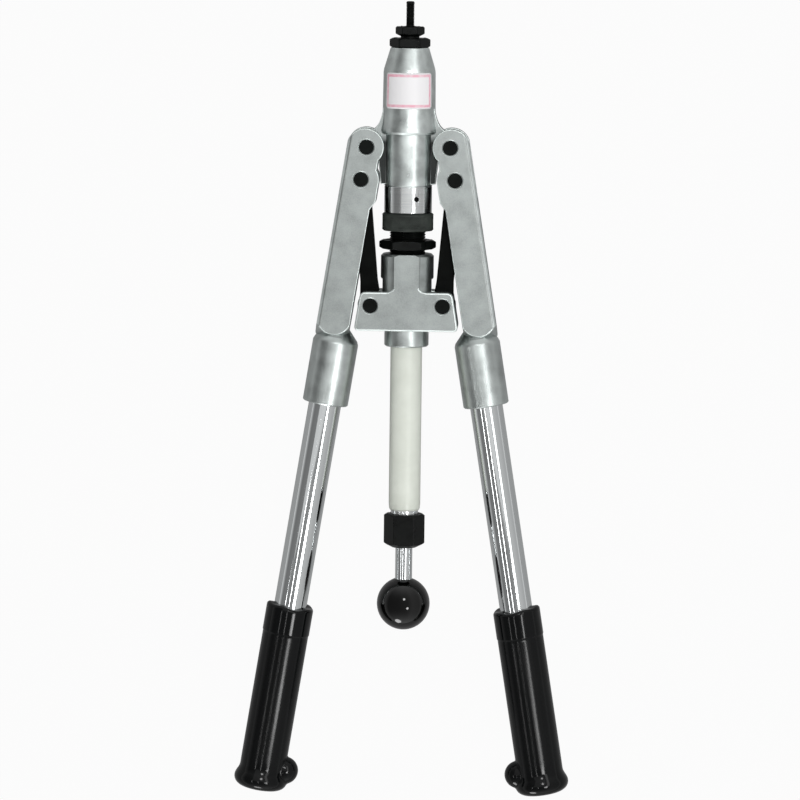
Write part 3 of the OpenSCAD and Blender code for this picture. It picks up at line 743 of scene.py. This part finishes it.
def barrel_label():
    """A blank label wrapped over the front of the barrel."""
    columns, rows = 48, 16
    corner = 1.2
    build = bmesh.new()
    uv = build.loops.layers.uv.new("label")
    grid = []
    for row in range(rows + 1):
        down = LABEL_TALL * row / rows
        line = []
        from_edge = min(down, LABEL_TALL - down)
        inset = 0.0
        if from_edge < corner:
            inset = corner - math.sqrt(corner ** 2 - (corner - from_edge) ** 2)
        half = LABEL_HALF - inset / BARREL_R
        for column in range(columns + 1):
            turn = half * (2 * column / columns - 1)
            station = LABEL_TOP - down
            radius = BARREL_R - 0.2 + 0.2 * down / LABEL_TALL + 0.07
            vert = build.verts.new(round_point(radius, turn, station))
            line.append((vert, 0.5 + turn / (2 * LABEL_HALF), down / LABEL_TALL))
        grid.append(line)
    for upper, lower in zip(grid, grid[1:]):
        for a, b in zip(range(columns), range(1, columns + 1)):
            corners = (upper[a], lower[a], lower[b], upper[b])
            face = build.faces.new([c[0] for c in corners])
            for loop, c in zip(face.loops, corners):
                loop[uv].uv = c[1:]
    bmesh.ops.recalc_face_normals(build, faces=build.faces)
    mesh = bpy.data.meshes.new("barrel_label")
    build.to_mesh(mesh)
    build.free()
    if mesh.polygons[0].normal.z < 0:
        mesh.flip_normals()
    smooth(mesh)
    work = bpy.data.objects.new("label_work", mesh)
    bpy.context.scene.collection.objects.link(work)
    wall = work.modifiers.new("paper", "SOLIDIFY")
    wall.thickness = 0.1 * MM
    wall.offset = 1.0
    new_piece("barrel_label", settled(work), LABEL, "head", "cream_plastic")


# The tool

broken_edges("head_casting", 0.45, 2, CAST_EAR, "head", "cast_grey", on_barrel, CAST_BARREL_BRIGHTENED)
broken_edges("guide_sleeve", 0.2, 2, POLISHED, "head", "polished_steel")
broken_edges("nosepiece", 0.5, 3, BLACK, "head", "black_steel")
broken_edges("nose_lock_nut", 0.6, 3, BLACK, "head", "black_steel")
for side in ("left", "right"):
    lever = side + "_lever"
    broken_edges(lever, 0.5, 3, CAST, lever, "cast_grey", on_lever_round)
    broken_edges(side + "_link", 0.8, 2, LINK_BLACK_SHADED, side + "_link", "black_steel")
    keep_node(side + "_handle_tube", CHROME)
    keep_node(side + "_pivot_pin", PIN_BLACK)
    keep_node(side + "_link_pin", PIN_BLACK)
broken_edges("yoke", 1.0, 3, CAST, "yoke", "cast_grey", on_yoke_round)
broken_edges("stop_nut", 0.35, 2, BLACK, "yoke", "black_steel")
broken_edges("end_nut", 0.4, 2, BLACK, "yoke", "black_steel")
keep_node("yoke_pins", PIN_BLACK)
keep_node("guide_tube", CREAM)
keep_node("end_ferrule", POLISHED)
keep_node("chuck_retainer", INNER)
keep_node("pull_rod", CHROME)
keep_node("drive_nut", BRONZE)
keep_node("ball_knob", BALL_PLASTIC)
keep_node("chuck", INNER)
keep_node("drive_spindle", INNER)
keep_node("thrust_washer", BRONZE)
threaded_mandrel()
threaded_stem()
knurled_ring()
dipped_grip(1)
dipped_grip(-1)
barrel_label()


# Floor, light and camera

def pale_floor(level):
    """A white table that keeps a faint shadow of the tool."""
    material = bpy.data.materials.new("floor")
    material.use_nodes = True
    tree = material.node_tree
    shader = tree.nodes["Principled BSDF"]
    shader.inputs["Base Color"].default_value = (0.2, 0.2, 0.2, 1)
    shader.inputs["Roughness"].default_value = 0.9
    white = add(tree, "ShaderNodeEmission")
    path = add(tree, "ShaderNodeLightPath")
    mix = add(tree, "ShaderNodeMixShader")
    to_camera, in_metal = 0.96, 0.22
    glossy = calc(tree, "MULTIPLY", path.outputs["Is Glossy Ray"], in_metal)
    seen = calc(tree, "ADD", calc(tree, "MULTIPLY", path.outputs["Is Camera Ray"], to_camera), glossy)
    seen = calc(tree, "MINIMUM", calc(tree, "ADD", seen, path.outputs["Is Transmission Ray"]), 1)
    tree.links.new(seen, mix.inputs["Fac"])
    tree.links.new(shader.outputs[0], mix.inputs[1])
    tree.links.new(white.outputs[0], mix.inputs[2])
    tree.links.new(mix.outputs[0], tree.nodes["Material Output"].inputs["Surface"])
    half = 4.0
    mesh = bpy.data.meshes.new("floor")
    corners = [(-half, -half, level), (half, -half, level), (half, half, level), (-half, half, level)]
    mesh.from_pydata(corners, [], [(0, 1, 2, 3)])
    mesh.materials.append(material)
    floor = bpy.data.objects.new("floor", mesh)
    bpy.context.scene.collection.objects.link(floor)


def studio_world():
    """A dim room, darker to the left, with bright walls beyond the nose and the handles."""
    world = bpy.data.worlds.new("studio")
    world.use_nodes = True
    tree = world.node_tree
    place = add(tree, "ShaderNodeTexCoord")
    parts = add(tree, "ShaderNodeSeparateXYZ")
    tree.links.new(place.outputs["Generated"], parts.inputs[0])
    swing = calc(tree, "ARCTAN2", parts.outputs["X"], parts.outputs["Z"])
    share = spread(tree, swing, -math.pi / 2, math.pi / 2, 0, 1)
    walls = ((-90, 0.8), (-80, 0.5), (-68, 0.2), (-20, 0.24), (20, 0.33), (42, 0.6), (60, 0.54), (78, 0.48),
             (90, 0.8))
    bands = shades(tree, share, *[((degrees + 90) / 180, (grey,) * 3) for degrees, grey in walls])
    end = calc(tree, "POWER", calc(tree, "ABSOLUTE", parts.outputs["Y"]), 4)
    ends = add(tree, "ShaderNodeMix", data_type="RGBA")
    tree.links.new(end, ends.inputs["Factor"])
    tree.links.new(bands, ends.inputs["A"])
    ends.inputs["B"].default_value = (1.15, 1.16, 1.16, 1)
    path = add(tree, "ShaderNodeLightPath")
    shown = add(tree, "ShaderNodeMix", data_type="RGBA")
    tree.links.new(path.outputs["Is Camera Ray"], shown.inputs["Factor"])
    tree.links.new(ends.outputs["Result"], shown.inputs["A"])
    shown.inputs["B"].default_value = (1, 1, 1, 1)
    tree.links.new(shown.outputs["Result"], tree.nodes["Background"].inputs["Color"])
    bpy.context.scene.world = world


def area_lamp(name, where, back, wide, tall, radiance):
    """A rectangular lamp at a place in metres, facing away from back, its tall side along the tool."""
    lamp = bpy.data.lights.new(name, "AREA")
    lamp.shape = "RECTANGLE"
    lamp.size = wide
    lamp.size_y = tall
    lamp.energy = radiance * math.pi * wide * tall
    box = bpy.data.objects.new(name, lamp)
    across = Vector((0, 1, 0)).cross(back).normalized()
    turn = Matrix((across, back.cross(across), back)).transposed()
    box.matrix_world = Matrix.Translation(where) @ turn.to_4x4()
    box.visible_camera = False
    bpy.context.scene.collection.objects.link(box)
    return box


def strip(name, swing, low, high, wide, radiance):
    """A long lamp beside the camera, swung right of the vertical, between two stations along the tool."""
    reach = 1.3
    a = math.radians(swing)
    back = Vector((math.sin(a), 0, math.cos(a)))
    where = Vector((0, (low + high) / 2, 0)) + back * reach
    return area_lamp(name, where, back, wide, high - low, radiance)


def bulb(name, way, wide, radiance):
    """A small round lamp that shows as a bright dot on the ball knob."""
    reach = 1.2
    lamp = bpy.data.lights.new(name, "AREA")
    lamp.shape = "DISK"
    lamp.size = wide
    lamp.energy = radiance * math.pi * math.pi * (wide / 2) ** 2
    light = bpy.data.objects.new(name, lamp)
    back = Vector(way).normalized()
    turn = back.to_track_quat("Z", "Y").to_matrix().to_4x4()
    light.matrix_world = Matrix.Translation(BALL * MM + back * reach) @ turn
    light.visible_camera = False
    bpy.context.scene.collection.objects.link(light)


def off_the_ball(*lamps):
    """Keeps the long lamps' streaks off the ball knob, which shows only the round ones."""
    for lamp in lamps:
        lit = bpy.data.collections.new(lamp.name + "_lit")
        lit.objects.link(nodes["ball_knob"])
        lit.collection_objects[0].light_linking.link_state = "EXCLUDE"
        lamp.light_linking.receiver_collection = lit


def photo_camera():
    """The photograph's view: from above, a little to the right and from the nose end."""
    middle = Vector((-3.35 * MM, -219.1 * MM, 0))
    reach = 3.0
    field = 0.470
    up = Vector((-0.0119, 0.9999, 0))
    right = Vector((0.9999, 0.0119, 0))
    yaw, pitch = math.radians(2), math.radians(6.5)
    back = (right * math.sin(yaw) + up * math.sin(pitch) + Vector((0, 0, math.cos(pitch)))).normalized()
    top = (up - back * up.dot(back)).normalized()
    camera_data = bpy.data.cameras.new("camera")
    camera_data.sensor_width = 36
    camera_data.lens = 36 * reach / field
    camera = bpy.data.objects.new("camera", camera_data)
    turn = Matrix((top.cross(back), top, back)).transposed()
    camera.matrix_world = Matrix.Translation(middle + back * reach) @ turn.to_4x4()
    bpy.context.scene.collection.objects.link(camera)
    bpy.context.scene.camera = camera


pale_floor(cad_box[0].z)
studio_world()
off_the_ball(
    area_lamp("head_panel", Vector((-0.14, 0.25, 1.0)), Vector((0, 0, 1)), 1.0, 1.3, 0.48),
    strip("right_head_strip", 30, -0.42, 0.9, 0.27, 2.3),
    strip("right_tail_strip", 26, -0.85, -0.42, 0.13, 13.0),
    strip("middle_tail_strip", -11, -0.85, -0.42, 0.035, 11.0),
    strip("left_tail_strip", -38, -0.85, -0.42, 0.05, 7.0))
bulb("upper_bulb", (0.093, 0.419, 0.90), 0.2, 16)
bulb("lower_bulb", (0.334, -0.249, 0.908), 0.2, 16)
bulb("tail_bulb", (-0.26, -0.95, 0.16), 0.4, 10)
photo_camera()
bpy.context.scene.view_settings.view_transform = "Standard"
